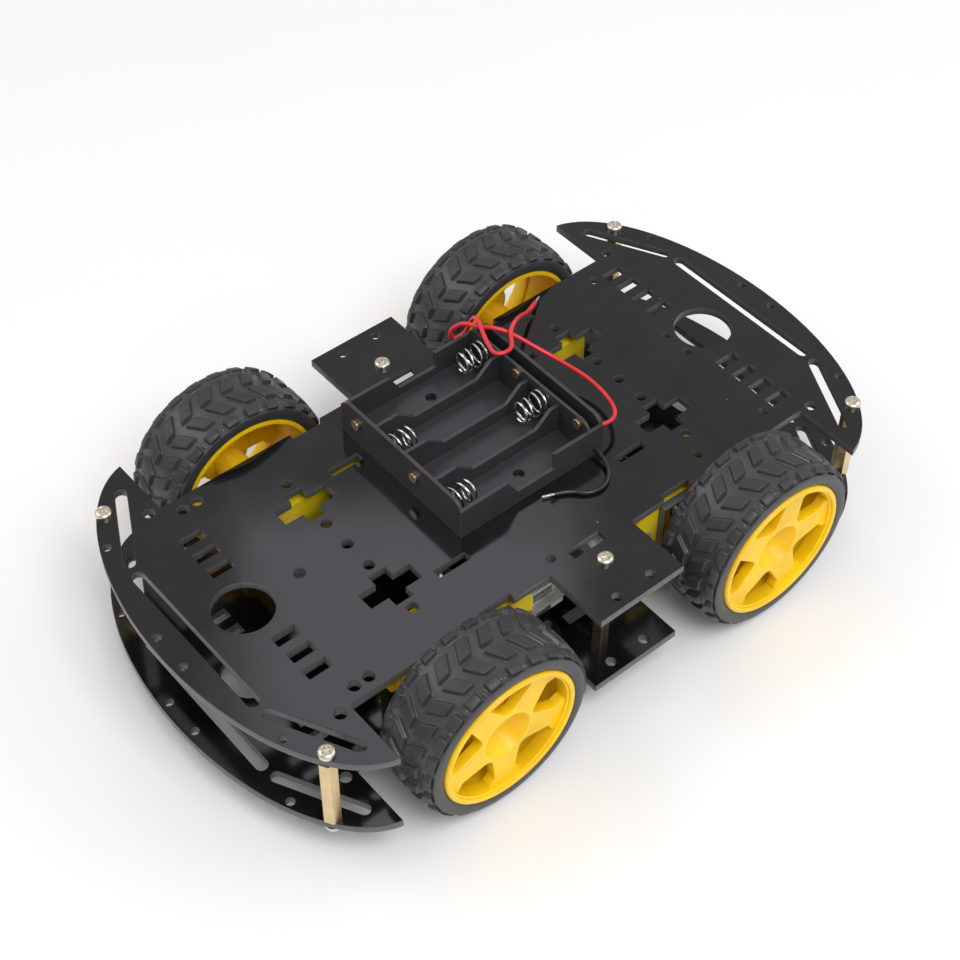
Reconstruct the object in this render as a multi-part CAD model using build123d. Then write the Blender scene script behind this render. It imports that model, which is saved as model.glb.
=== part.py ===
"""Four wheel robot chassis: two acrylic decks, four geared motors with wheels, and a battery tray.

Frame: +X is forward, +Y is left, +Z is up, and Z = 0 is the floor under the tyres.
Every corner of the chassis is the front left corner, mirrored.
"""

from build123d import *
import math
import os

os.makedirs("parts", exist_ok=True)

# Decks
DECK_LENGTH = 256.0
DECK_WIDTH = 148.0
DECK_THICKNESS = 3.0
DECK_GAP = 30.0
BOTTOM_DECK_Z = 14.5
BODY_HALF_LENGTH = 95.0
BODY_HALF_WIDTH = 50.0
EAR_HALF_LENGTH = 17.4
BUMPER_CENTRE_X = 90.6
BUMPER_HALF_WIDTH = 74.4
INNER_CORNER_RADIUS = 1.0
SENSOR_PORT_X = 98.0
SENSOR_PORT_RADIUS = 10.1
CORNER_POST = (110.4, 59.2)
SIDE_POST = (0.0, 56.6)

# Wheels and axles
WHEELBASE = 116.0
WHEEL_DIAMETER = 65.0
RIM_RADIUS = 25.5
RIM_INNER_Y = 54.4
RIM_FACE_Y = 80.4
TYRE_INNER_Y = 54.2
TYRE_OUTER_Y = 79.9
SPOKE_COUNT = 5
LUG_COUNT = 24
SHAFT_RADIUS = 2.7
SHAFT_FLAT = 3.7
FIT = 0.05

# Geared motor
GEARBOX_INNER_Y = 29.1
GEARBOX_THICKNESS = 18.8
GEARBOX_HEIGHT = 22.5
GEARBOX_WALL = 1.6
GEARBOX_NOSE = 11.2
GEARBOX_BODY = 26.0
CRADLE_END = 36.0
BOLT_SETBACK = 20.0
BOLT_SPREAD = 8.75
CAN_RADIUS = 10.0
CAN_FLAT = 7.7
CAN_FRONT = 26.3
CAN_BACK = 45.7
CAP_BACK = 51.7

# Gear train: a 32/8 crown stage, then 24/8 and 32/8 spur stages, 48 to 1 in all
SPUR_MODULE = 0.4
CROWN_MODULE = 0.5
OUTPUT_TEETH = 32
MIDDLE_TEETH = 24
CROWN_TEETH = 32
SMALL_TEETH = 8
CROWN_SETBACK = 13.0
ARBOR_RADIUS = 0.6
CROWN_LAYER = (41.1, 42.1)
MIDDLE_LAYER = (42.3, 43.9)
OUTPUT_LAYER = (44.2, 46.1)

# Brackets and fasteners
BRACKET_THICKNESS = 3.0
BRACKET_WIDTH = 12.0
BRACKET_HEAD = 20.0
BRACKET_HEAD_HEIGHT = 5.0
BRACKET_TOP_Z = 45.5
M3_RADIUS = 1.5
M3_HOLE = 1.6
M3_HEAD_RADIUS = 2.8
M3_HEAD_HEIGHT = 2.1
M3_HEX = 5.5
NUT_THICKNESS = 2.4

# Battery tray for four AA cells side by side
TRAY_X = 1.0
TRAY_Y = 10.0
TRAY_LENGTH = 60.0
TRAY_WIDTH = 62.0
TRAY_HEIGHT = 15.0
CELL_PITCH = 15.1
TRAY_WALL = 1.2
TRAY_FLOOR = 1.5
TRAY_GAP = 4.0
WIRE_RADIUS = 0.75

# Worked out from the above
TOP_DECK_Z = BOTTOM_DECK_Z + DECK_THICKNESS + DECK_GAP
DECK_TOP_Z = TOP_DECK_Z + DECK_THICKNESS
AXLE_X = WHEELBASE / 2
AXLE_Z = WHEEL_DIAMETER / 2
GEARBOX_OUTER_Y = GEARBOX_INNER_Y + GEARBOX_THICKNESS
MOTOR_Y = GEARBOX_INNER_Y + GEARBOX_THICKNESS / 2
BOLT_X = AXLE_X - BOLT_SETBACK
OUTPUT_REACH = SPUR_MODULE * (OUTPUT_TEETH + SMALL_TEETH) / 2
MIDDLE_REACH = SPUR_MODULE * (MIDDLE_TEETH + SMALL_TEETH) / 2
CROWN_X = AXLE_X - CROWN_SETBACK
MIDDLE_SETBACK = (CROWN_SETBACK**2 + OUTPUT_REACH**2 - MIDDLE_REACH**2) / (2 * CROWN_SETBACK)
MIDDLE_X = AXLE_X - MIDDLE_SETBACK
MIDDLE_Z = AXLE_Z + math.sqrt(OUTPUT_REACH**2 - MIDDLE_SETBACK**2)
CROWN_RADIUS = CROWN_MODULE * CROWN_TEETH / 2
PINION_X = CROWN_X - CROWN_RADIUS
CORNERS = {
    "front_left": (1, 1),
    "front_right": (1, -1),
    "rear_left": (-1, 1),
    "rear_right": (-1, -1),
}
# Angle of one spoke, before the corner is mirrored
SPOKE_PHASE = {"front_left": 20, "front_right": 3, "rear_left": 47, "rear_right": 56}


def save(name, shape):
    """Write one node: a solid, or a group of separate solids."""
    if isinstance(shape, list):
        solids = [solid for item in shape for solid in item.solids()]
        shape = Compound(solids)
    shape.label = name
    export_step(shape, f"parts/{name}.step")


def block(x, y, z):
    """A box given by its low and high limits along each axis."""
    size = (x[1] - x[0], y[1] - y[0], z[1] - z[0])
    centre = (sum(x) / 2, sum(y) / 2, sum(z) / 2)
    return Pos(*centre) * Box(*size)


def rod_x(y, z, x0, x1, radius):
    return Pos((x0 + x1) / 2, y, z) * Rot(0, 90, 0) * Cylinder(radius, x1 - x0)


def rod_y(x, z, y0, y1, radius):
    return Pos(x, (y0 + y1) / 2, z) * Rot(90, 0, 0) * Cylinder(radius, y1 - y0)


def rod_z(x, y, z0, z1, radius):
    return Pos(x, y, (z0 + z1) / 2) * Cylinder(radius, z1 - z0)


def prism_y(sketch, y0, y1):
    """A sketch drawn with x along X and y along Z, run from y0 to y1."""
    plane = Plane(origin=(0, y1, 0), x_dir=(1, 0, 0), z_dir=(0, -1, 0))
    return extrude(plane * sketch, y1 - y0)


def prism_x(sketch, x0, x1):
    """A sketch drawn with x along Y and y along Z, run from x0 to x1."""
    plane = Plane(origin=(x0, 0, 0), x_dir=(0, 1, 0), z_dir=(1, 0, 0))
    return extrude(plane * sketch, x1 - x0)


def at_corner(shape, side):
    """The front left corner's shape, mirrored to another corner."""
    if side[0] < 0:
        shape = mirror(shape, about=Plane.YZ)
    if side[1] < 0:
        shape = mirror(shape, about=Plane.XZ)
    return shape


def four_ways(x, y):
    return [(sx * x, sy * y) for sx in (-1, 1) for sy in (-1, 1)]


def both_ends(x, y):
    return [(x, sy * y) for sy in (-1, 1)]


# ---------------------------------------------------------------- decks


def deck_outline():
    """Body, side ears and two half-ellipse bumpers, with small inner corner radii."""
    outline = Rectangle(2 * BODY_HALF_LENGTH, 2 * BODY_HALF_WIDTH)
    outline += Rectangle(2 * EAR_HALF_LENGTH, DECK_WIDTH)
    reach = DECK_LENGTH / 2 - BUMPER_CENTRE_X
    for end in (-1, 1):
        oval = Pos(end * BUMPER_CENTRE_X, 0) * Ellipse(reach, BUMPER_HALF_WIDTH)
        beyond = Pos(end * (BODY_HALF_LENGTH + reach), 0) * Rectangle(2 * reach, 2 * DECK_WIDTH)
        outline += oval & beyond
    corners = [v for v in outline.vertices() if abs(abs(v.Y) - BODY_HALF_WIDTH) < 0.01]
    return fillet(corners, INNER_CORNER_RADIUS)


def deck_holes():
    """Every cut-out of a deck as (x, y, sketch)."""
    cuts = []

    def add(places, sketch):
        cuts.extend((x, y, sketch) for x, y in places)

    add([(-SENSOR_PORT_X, 0), (SENSOR_PORT_X, 0)], Circle(SENSOR_PORT_RADIUS))
    # Posts, ear holes and the bumper's small holes
    add(four_ways(*CORNER_POST), Circle(M3_HOLE))
    add(both_ends(*SIDE_POST), Circle(M3_HOLE))
    add(four_ways(7.1, 69.8), Circle(1.75))
    add(four_ways(124.8, 7.1), Circle(1.5))
    add(four_ways(117.1, 46.9), Circle(1.5))
    # Cable crosses and the hole columns beside them
    add(four_ways(58.1, 22.1), Rectangle(20.0, 6.6) + Rectangle(6.6, 14.2))
    add([(-58.0, 0), (58.0, 0)], Circle(1.9))
    add(four_ways(58.0, 11.1), Circle(1.9))
    add(four_ways(58.0, 33.0), Circle(1.9))
    # Slots and edge notches for the motor brackets
    add(four_ways(BOLT_X, 27.6), Rectangle(12.3, 3.3))
    notch = 2 * (BODY_HALF_WIDTH - GEARBOX_OUTER_Y + 0.1)
    add(four_ways(BOLT_X, BODY_HALF_WIDTH), Rectangle(12.3, notch))
    add(both_ends(0, 48.1), Rectangle(14.2, 4.1))
    # Holes for boards and sensors, which differ from end to end
    add(both_ends(-12.6, 45.4), Circle(1.5))
    add([(-76.6, 0)], Circle(2.0))
    add(both_ends(85.6, 5.3), Circle(1.75))
    add(both_ends(85.3, 42.5), Circle(1.75))
    add(both_ends(54.3, 42.3), Circle(2.0))
    add(both_ends(-89.8, 45.1), Circle(2.0))
    add(both_ends(-84.3, 45.1), Circle(2.0))
    add(four_ways(99.0, 50.6), Circle(2.0))
    for step in range(3):
        add(both_ends(-94.3, 17.2 + 7.85 * step), Rectangle(8.4, 4.1))
    for step in range(4):
        add(both_ends(93.3, 17.2 + 7.85 * step), Rectangle(8.4, 4.1))
    # Long and slanted slots of the bumpers
    add([(-116.1, 0), (116.1, 0)], Rot(0, 0, 90) * SlotOverall(65.5, 4.2))
    slant = SlotCenterToCenter(29.6, 4.0)
    for x, y in four_ways(108.3, 50.2):
        turn = -62.7 if x * y > 0 else 62.7
        cuts.append((x, y, Rot(0, 0, turn) * slant))
    return cuts


def deck(z):
    sheet = deck_outline()
    for x, y, sketch in deck_holes():
        sheet -= Pos(x, y) * sketch
    return extrude(Pos(0, 0, z) * sheet, DECK_THICKNESS)


def post_places():
    return four_ways(*CORNER_POST) + both_ends(*SIDE_POST)


def standoff(x, y):
    """A brass hexagonal post with a tapped bore right through."""
    low = BOTTOM_DECK_Z + DECK_THICKNESS
    hexagon = RegularPolygon(M3_HEX / 2, 6, major_radius=False)
    post = extrude(Pos(x, y, low) * hexagon, DECK_GAP)
    return post - rod_z(x, y, low, low + DECK_GAP, M3_RADIUS + FIT)


def pan_screw(length):
    """An M3 cross-head screw along Z, its head above Z = 0 and its shank below."""
    head = Cylinder(M3_HEAD_RADIUS, M3_HEAD_HEIGHT, align=(Align.CENTER, Align.CENTER, Align.MIN))
    head = fillet(head.edges().sort_by(Axis.Z)[-1], 1.2)
    slot = Box(3.4, 0.7, 1.2) + Box(0.7, 3.4, 1.2)
    head -= Pos(0, 0, M3_HEAD_HEIGHT) * slot
    return head + rod_z(0, 0, -length, 0, M3_RADIUS)


def deck_screws():
    screws = []
    for index, (x, y) in enumerate(post_places()):
        turn = Rot(0, 0, 35 * index)
        screws.append(Pos(x, y, DECK_TOP_Z) * turn * pan_screw(8))
        screws.append(Pos(x, y, BOTTOM_DECK_Z) * Rot(180, 0, 0) * turn * pan_screw(8))
    return screws


# ------------------------------------------------------------- gearbox


def gearbox_outline(inset):
    """The housing's side view, from its rounded nose to the end of the motor cradle."""
    low_x = AXLE_X - CRADLE_END
    high_x = AXLE_X + GEARBOX_NOSE
    width = high_x - low_x - 2 * inset
    sketch = RectangleRounded(width, GEARBOX_HEIGHT - 2 * inset, 3.0 - inset)
    return Pos((low_x + high_x) / 2, AXLE_Z) * sketch


def can_profile(grow):
    """A round of the can's radius with two flats across Y."""
    flat = 2 * (CAN_FLAT + grow)
    return Circle(CAN_RADIUS + grow) & Rectangle(flat, 3 * CAN_RADIUS)


def gearbox_body():
    """Both halves of the housing as one hollow, before it is split down the middle."""
    body = prism_y(gearbox_outline(0), GEARBOX_INNER_Y, GEARBOX_OUTER_Y)
    front = AXLE_X - GEARBOX_BODY
    inner = (GEARBOX_INNER_Y + GEARBOX_WALL, GEARBOX_OUTER_Y - GEARBOX_WALL)
    half = GEARBOX_HEIGHT / 2 - GEARBOX_WALL
    cavity = block(
        (front + 1.3, AXLE_X + GEARBOX_NOSE - GEARBOX_WALL), inner, (AXLE_Z - half, AXLE_Z + half)
    )
    for z in (AXLE_Z - BOLT_SPREAD, AXLE_Z + BOLT_SPREAD):
        cavity -= rod_y(BOLT_X, z, *inner, 2.5)
    for z in (AXLE_Z - 8.0, AXLE_Z + 8.0):
        cavity -= rod_y(AXLE_X + 8.0, z, *inner, 1.7)
    body -= cavity
    motor_seat = Pos(MOTOR_Y, AXLE_Z) * can_profile(0.05)
    body -= prism_x(motor_seat, AXLE_X - CRADLE_END - 1, AXLE_X - CAN_FRONT)
    body -= rod_x(MOTOR_Y, AXLE_Z, front - 1, front + 2, 3.1)
    # Nose tab with a hole, in the outer half
    tab_x = AXLE_X + GEARBOX_NOSE
    tab = block((tab_x - 1, tab_x + 5), (MOTOR_Y, MOTOR_Y + 2.5), (AXLE_Z - 4.5, AXLE_Z + 4.5))
    tab = fillet(tab.edges().filter_by(Axis.Y).sort_by(Axis.X)[-2:], 2.5)
    body += tab - rod_y(tab_x + 2.2, AXLE_Z, MOTOR_Y - 1, MOTOR_Y + 4, 1.6)
    # Wedges that the motor strap hooks over
    for y in (GEARBOX_INNER_Y - 0.8, GEARBOX_OUTER_Y):
        body += block((24.2, 26.6), (y, y + 0.8), (AXLE_Z - 1.6, AXLE_Z + 1.6))
    body -= rod_y(AXLE_X, AXLE_Z, GEARBOX_INNER_Y - 1, GEARBOX_OUTER_Y + 1, SHAFT_RADIUS + FIT)
    for z in (AXLE_Z - BOLT_SPREAD, AXLE_Z + BOLT_SPREAD):
        body -= rod_y(BOLT_X, z, GEARBOX_INNER_Y - 1, GEARBOX_OUTER_Y + 1, M3_HOLE)
    for z in (AXLE_Z - 8.0, AXLE_Z + 8.0):
        body -= rod_y(AXLE_X + 8.0, z, GEARBOX_INNER_Y + 3, GEARBOX_OUTER_Y + 1, 0.95)
    for arbor in arbors(0.02):
        body -= arbor
    return body


def gearbox_shell(body, outer):
    """One half of the housing, outboard or inboard of the motor's centre plane."""
    span = (MOTOR_Y, MOTOR_Y + 20) if outer else (MOTOR_Y - 20, MOTOR_Y)
    return body & block((0, 100), span, (0, 60))


def arbors(grow=0):
    """The middle gear's stub pin, seated outboard, and the crown gear's pin right across."""
    high = GEARBOX_OUTER_Y - 0.6
    radius = ARBOR_RADIUS + grow
    stub = rod_y(MIDDLE_X, MIDDLE_Z, MIDDLE_LAYER[0], high, radius)
    return [stub, rod_y(CROWN_X, AXLE_Z, GEARBOX_INNER_Y + 0.6, high, radius)]


def gearbox_screws():
    """Two small self-tapping screws that close the housing at its nose."""
    screws = []
    for z in (AXLE_Z - 8.0, AXLE_Z + 8.0):
        screw = rod_y(AXLE_X + 8.0, z, GEARBOX_OUTER_Y - 13, GEARBOX_OUTER_Y, 0.9)
        head = rod_y(AXLE_X + 8.0, z, GEARBOX_OUTER_Y, GEARBOX_OUTER_Y + 1.3, 1.8)
        cross_y = (GEARBOX_OUTER_Y + 0.7, GEARBOX_OUTER_Y + 2)
        x = AXLE_X + 8.0
        head -= block((x - 1.1, x + 1.1), cross_y, (z - 0.2, z + 0.2))
        head -= block((x - 0.2, x + 0.2), cross_y, (z - 1.1, z + 1.1))
        screws.append(screw + head)
    return screws


# ----------------------------------------------------------- gear train


def gear_sketch(x, z, teeth, module, phase, root_half, tip_half):
    """A gear's side view round (x, z), with a tooth centred at the phase angle in degrees."""
    pitch = module * teeth / 2
    root = pitch - 1.2 * module
    tip = pitch + 0.9 * module
    points = []
    for tooth in range(teeth):
        middle = math.radians(phase) + 2 * math.pi * tooth / teeth
        for radius, half in ((root, -root_half), (tip, -tip_half), (tip, tip_half), (root, root_half)):
            angle = middle + math.asin(half * module / radius)
            points.append((x + radius * math.cos(angle), z + radius * math.sin(angle)))
    return Polygon(*points, align=None)


def big_gear(x, z, teeth, phase):
    return gear_sketch(x, z, teeth, SPUR_MODULE, phase, 0.95, 0.34)


def small_gear(x, z, module, phase):
    return gear_sketch(x, z, SMALL_TEETH, module, phase, 0.62, 0.3)


def direction(from_x, from_z, to_x, to_z):
    """Direction in degrees from one axis to another, in the X-Z plane."""
    return math.degrees(math.atan2(to_z - from_z, to_x - from_x))


def shaft_profile(grow):
    flat = SHAFT_FLAT + 2 * grow
    return Circle(SHAFT_RADIUS + grow) & Rectangle(2 * flat, flat)


def output_gear():
    """The last gear and the wheel shaft, moulded as one, with two flats on each end."""
    phase = direction(AXLE_X, AXLE_Z, MIDDLE_X, MIDDLE_Z)
    gear = prism_y(big_gear(AXLE_X, AXLE_Z, OUTPUT_TEETH, phase), *OUTPUT_LAYER)
    collar = rod_y(AXLE_X, AXLE_Z, 34.0, 41.0, 3.6)
    round_part = rod_y(AXLE_X, AXLE_Z, GEARBOX_INNER_Y - 0.3, GEARBOX_OUTER_Y + 0.3, SHAFT_RADIUS)
    ends = prism_y(Pos(AXLE_X, AXLE_Z) * shaft_profile(0), 20.1, 57.9)
    return gear + collar + round_part + ends


def middle_gear():
    """A gear driven by the crown gear's pinion, and a pinion that drives the output gear."""
    gap = 180 / SMALL_TEETH
    to_axle = direction(MIDDLE_X, MIDDLE_Z, AXLE_X, AXLE_Z)
    to_crown = direction(MIDDLE_X, MIDDLE_Z, CROWN_X, AXLE_Z)
    gear = prism_y(big_gear(MIDDLE_X, MIDDLE_Z, MIDDLE_TEETH, to_crown), *MIDDLE_LAYER)
    pinion = small_gear(MIDDLE_X, MIDDLE_Z, SPUR_MODULE, to_axle + gap)
    gear += prism_y(pinion, MIDDLE_LAYER[1], OUTPUT_LAYER[1])
    return gear - rod_y(MIDDLE_X, MIDDLE_Z, 30, 48, ARBOR_RADIUS + FIT)


def crown_gear():
    """A face gear with its teeth towards the motor's centre plane, and a pinion outboard of it."""
    rim = CROWN_RADIUS + 0.45
    disc = rod_y(CROWN_X, AXLE_Z, *CROWN_LAYER, rim)
    tooth = block(
        (CROWN_X + CROWN_RADIUS - 0.7, CROWN_X + rim - 0.05),
        (CROWN_LAYER[0] - 1.0, CROWN_LAYER[0] + 0.1),
        (AXLE_Z - 0.3, AXLE_Z + 0.3),
    )
    axis = Axis((CROWN_X, 0, AXLE_Z), (0, 1, 0))
    pitch_angle = 360 / CROWN_TEETH
    for index in range(CROWN_TEETH):
        disc += tooth.rotate(axis, pitch_angle * (index + 0.5))
    phase = direction(CROWN_X, AXLE_Z, MIDDLE_X, MIDDLE_Z) + 180 / SMALL_TEETH
    pinion = small_gear(CROWN_X, AXLE_Z, SPUR_MODULE, phase)
    disc += prism_y(pinion, CROWN_LAYER[1], MIDDLE_LAYER[1])
    return disc - rod_y(CROWN_X, AXLE_Z, 30, 48, ARBOR_RADIUS + FIT)


def motor_pinion():
    """The small gear pressed on the motor's shaft, a tooth towards the crown gear."""
    sketch = small_gear(MOTOR_Y, AXLE_Z, CROWN_MODULE, 0)
    pinion = prism_x(sketch, PINION_X - 1.3, PINION_X + 1.1)
    return pinion - rod_x(MOTOR_Y, AXLE_Z, PINION_X - 2, PINION_X + 2, 1.0)


# ---------------------------------------------------------------- motor


def motor_can():
    """A steel can, round with two flats, closed at the front round the shaft."""
    front = AXLE_X - CAN_FRONT
    back = AXLE_X - CAN_BACK
    centre = Pos(MOTOR_Y, AXLE_Z)
    can = prism_x(centre * can_profile(0), back, front)
    can -= prism_x(centre * can_profile(-0.6), back - 1, front - 0.7)
    can += rod_x(MOTOR_Y, AXLE_Z, front, front + 1.2, 3.0)
    return can - rod_x(MOTOR_Y, AXLE_Z, front - 2, front + 2, 1.0 + FIT)


def motor_magnets():
    """Two arc magnets against the can's round sides."""
    front = AXLE_X - CAN_FRONT - 4
    back = AXLE_X - CAN_BACK + 3
    ring = Circle(CAN_RADIUS - 0.6) - Circle(7.3)
    halves = []
    for z in (-10, 10):
        arc = ring & (Pos(0, z) * Rectangle(2 * (CAN_FLAT - 1.2), 12))
        halves.append(prism_x(Pos(MOTOR_Y, AXLE_Z) * arc, back, front))
    return halves


def motor_armature():
    """Shaft, laminated core and commutator, which turn together."""
    shaft = rod_x(MOTOR_Y, AXLE_Z, AXLE_X - CAP_BACK + 1.2, PINION_X + 1.1, 1.0)
    core_back = AXLE_X - CAN_BACK + 4
    core_front = AXLE_X - CAN_FRONT - 4.5
    core = Circle(6.8)
    for index in range(3):
        core -= Rot(0, 0, 120 * index) * (Pos(6.0, 0) * Rectangle(5.0, 1.4))
    shaft += prism_x(Pos(MOTOR_Y, AXLE_Z) * core, core_back, core_front)
    return shaft + rod_x(MOTOR_Y, AXLE_Z, core_back - 4.5, core_back, 2.4)


def motor_end_cap():
    """The plastic cap that closes the can's back and carries the shaft's end."""
    back = AXLE_X - CAP_BACK
    front = AXLE_X - CAN_BACK
    centre = Pos(MOTOR_Y, AXLE_Z)
    cap = prism_x(centre * can_profile(0), back, front)
    cap = chamfer(cap.faces().sort_by(Axis.X)[0].edges(), 1.0)
    cap -= prism_x(centre * can_profile(-1.6), back + 3.2, front + 1)
    cap -= rod_x(MOTOR_Y, AXLE_Z, back + 1.2, front, 1.0 + FIT)
    for turn in (-1, 1):
        z = AXLE_Z + turn * 9.0
        cap -= block((back + 1.6, back + 2.2), (MOTOR_Y - 1.2, MOTOR_Y + 1.2), (z - 2.5, z + 2.5))
    return cap


def motor_terminals():
    """Two copper solder tabs, seated in the end cap's slots."""
    tabs = []
    for turn in (-1, 1):
        inner = AXLE_Z + turn * 6.6
        outer = AXLE_Z + turn * 12.2
        x = AXLE_X - CAP_BACK + 1.9
        tab = block((x - 0.25, x + 0.25), (MOTOR_Y - 1.1, MOTOR_Y + 1.1), sorted((inner, outer)))
        tabs.append(tab - rod_x(MOTOR_Y, outer - turn * 1.1, x - 1, x + 1, 0.5))
    return tabs


def motor_strap():
    """A clear band round the motor's back that hooks over a wedge on each side."""
    back = AXLE_X - CAP_BACK
    cradle = AXLE_X - CRADLE_END
    z = (AXLE_Z - 2.7, AXLE_Z + 2.7)
    near = CAN_FLAT + 0.05
    far = GEARBOX_THICKNESS / 2
    strap = block((back - 0.9, back), (MOTOR_Y - near - 0.9, MOTOR_Y + near + 0.9), z)
    for turn in (-1, 1):
        inside = sorted((MOTOR_Y + turn * near, MOTOR_Y + turn * (near + 0.9)))
        step = sorted((MOTOR_Y + turn * near, MOTOR_Y + turn * (far + 0.9)))
        outside = sorted((MOTOR_Y + turn * far, MOTOR_Y + turn * (far + 0.9)))
        strap += block((back - 0.9, cradle), inside, z)
        strap += block((cradle - 0.9, cradle), step, z)
        strap += block((cradle - 0.9, cradle + 6.6), outside, z)
    window = (AXLE_Z - 1.7, AXLE_Z + 1.7)
    strap -= block((24.1, 26.7), (MOTOR_Y - 20, MOTOR_Y + 20), window)
    return strap


# ---------------------------------------------------------------- wheel


def wheel_rim(phase):
    """A deep barrel, a recessed five-spoke star and a keyed hub, with its axis at the origin."""
    inner, face = RIM_INNER_Y, RIM_FACE_Y
    profile = Polyline(
        (RIM_RADIUS, face - 0.5), (RIM_RADIUS - 0.5, face), (23.6, face), (23.1, face - 0.6),
        (23.1, face - 5.4), (24.1, face - 6.6), (24.1, inner), (RIM_RADIUS, inner), close=True,
    )
    barrel = revolve(make_face(Plane.XY * profile), Axis.Y)
    star_y = (face - 5.2, face - 2.2)
    spoke = Polygon((0, -5), (9, -5), (20, -3.6), (20, 3.6), (9, 5), (0, 5), align=None)
    star = Circle(9.8)
    for index in range(SPOKE_COUNT):
        arm = Rot(0, 0, phase + 72 * index)
        star += arm * spoke
        star += arm * (Pos(21.6, 0) * Rectangle(5.0, 9.6))
    star &= Circle(23.6)
    rim = barrel + prism_y(star, *star_y)
    hub = rod_y(0, 0, 52.0, star_y[1], 5.5)
    rim += hub
    cone = Pos(0, star_y[1] - 1.75, 0) * Rot(-90, 0, 0) * Cone(5.2, 8.5, 3.5)
    rim += rod_y(0, 0, star_y[0] - 2.0, star_y[1], 9.6)
    rim -= cone
    return rim - prism_y(shaft_profile(0.02), 51.0, 60.0)


def tyre():
    """A crowned rubber tyre with four rows of tread blocks, with its axis at the origin."""
    middle = (TYRE_INNER_Y + TYRE_OUTER_Y) / 2
    half = (TYRE_OUTER_Y - TYRE_INNER_Y) / 2
    radius = WHEEL_DIAMETER / 2
    edge = Polyline(
        (RIM_RADIUS, middle - half + 0.3), (RIM_RADIUS + 0.3, middle - half), (29.4, middle - half + 0.6),
        (30.4, middle - half + 2.0), (31.3, middle - 5), (31.3, middle + 5),
        (30.4, middle + half - 2.0), (29.4, middle + half - 0.6), (RIM_RADIUS + 0.3, middle + half),
        (RIM_RADIUS, middle + half - 0.3), close=True,
    )
    carcass = revolve(make_face(Plane.XY * edge), Axis.Y)
    crown = revolve(make_face(Plane.XY * Polyline(
        (29.0, middle - half + 1.2), (31.6, middle - half + 1.2), (32.3, middle - 5), (radius, middle),
        (32.3, middle + 5), (31.6, middle + half - 1.2), (29.0, middle + half - 1.2), close=True,
    )), Axis.Y)
    bars = None
    for index in range(LUG_COUNT):
        for side in (-1, 1):
            angle = 360 / LUG_COUNT * (index + 0.25 * side)
            shoulder = Pos(0, middle + side * 9.2, 0) * Box(5.8, 4.4, 2 * radius)
            shoulder &= Pos(0, 0, radius) * Box(20, 200, radius)
            chevron = Pos(0, middle + side * 3.4, 0) * Rot(0, 0, -28 * side) * Box(3.4, 6.4, 2 * radius)
            chevron &= Pos(0, 0, radius) * Box(20, 200, radius)
            for lug, turn in ((shoulder, angle), (chevron, angle + 3.75)):
                lug = Rot(0, turn, 0) * lug
                bars = lug if bars is None else bars + lug
    return carcass + (crown & bars)


# -------------------------------------------------- brackets and bolts


def bracket(low_y):
    """A T-shaped plate: its head under the bottom deck, its stem up beside the gearbox."""
    y = (low_y, low_y + BRACKET_THICKNESS)
    half = BRACKET_WIDTH / 2
    stem = block((BOLT_X - half, BOLT_X + half), y, (BOTTOM_DECK_Z - 1, BRACKET_TOP_Z))
    wide = BRACKET_HEAD / 2
    head = block(
        (BOLT_X - wide, BOLT_X + wide), y, (BOTTOM_DECK_Z - BRACKET_HEAD_HEIGHT, BOTTOM_DECK_Z)
    )
    plate = stem + head
    for z in (AXLE_Z - BOLT_SPREAD, AXLE_Z + BOLT_SPREAD):
        plate -= rod_y(BOLT_X, z, y[0] - 1, y[1] + 1, M3_HOLE)
    return plate


def corner_brackets():
    return [bracket(GEARBOX_INNER_Y - BRACKET_THICKNESS), bracket(GEARBOX_OUTER_Y)]


def corner_bolts():
    bolts = []
    for z in (AXLE_Z - BOLT_SPREAD, AXLE_Z + BOLT_SPREAD):
        place = Pos(BOLT_X, GEARBOX_OUTER_Y + BRACKET_THICKNESS, z)
        bolts.append(place * Rot(-90, 0, 0) * pan_screw(30))
    return bolts


def corner_nuts():
    nuts = []
    outer = GEARBOX_INNER_Y - BRACKET_THICKNESS
    for z in (AXLE_Z - BOLT_SPREAD, AXLE_Z + BOLT_SPREAD):
        hexagon = RegularPolygon(M3_HEX / 2, 6, major_radius=False) - Circle(M3_RADIUS + 0.02)
        nuts.append(prism_y(Pos(BOLT_X, z) * hexagon, outer - NUT_THICKNESS, outer))
    return nuts


# --------------------------------------------------------- battery tray

TRAY_X0 = TRAY_X - TRAY_LENGTH / 2
TRAY_X1 = TRAY_X + TRAY_LENGTH / 2
TRAY_Y0 = TRAY_Y - TRAY_WIDTH / 2
TRAY_Y1 = TRAY_Y + TRAY_WIDTH / 2
CONTACT_X = TRAY_X1 - TRAY_WALL - TRAY_GAP
CELL_Y = [TRAY_Y + CELL_PITCH * (1.5 - row) for row in range(4)]
CELL_Z = DECK_TOP_Z + TRAY_FLOOR + 7.2
CONTACT_WALL = 1.0
CONTACT_OFFSET = 2.5
CONTACT_HIGH_Z = CELL_Z + 3.3
RIVET_RADIUS = 1.9
RIVET_HEAD = 0.9


def end_wall(x0, x1):
    """A full-height wall across the cells' ends, with rounded upper corners."""
    wall = block((x0, x1), (TRAY_Y0, TRAY_Y1), (DECK_TOP_Z, DECK_TOP_Z + TRAY_HEIGHT))
    upper = wall.edges().filter_by(Axis.X).sort_by(Axis.Z)[-2:]
    return fillet(upper, 5.0)


def side_wall(y0, y1):
    """A lower wall along the cells with a deep finger cut in its middle."""
    z = DECK_TOP_Z
    shape = Polygon(
        (TRAY_X0, z), (TRAY_X1, z), (TRAY_X1, z + 12), (9.8, z + 12), (10.2, z + 5.3),
        (-5.4, z + 5.3), (-9.6, z + 12), (TRAY_X0, z + 12), align=None,
    )
    return prism_y(shape, y0, y1)


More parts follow.
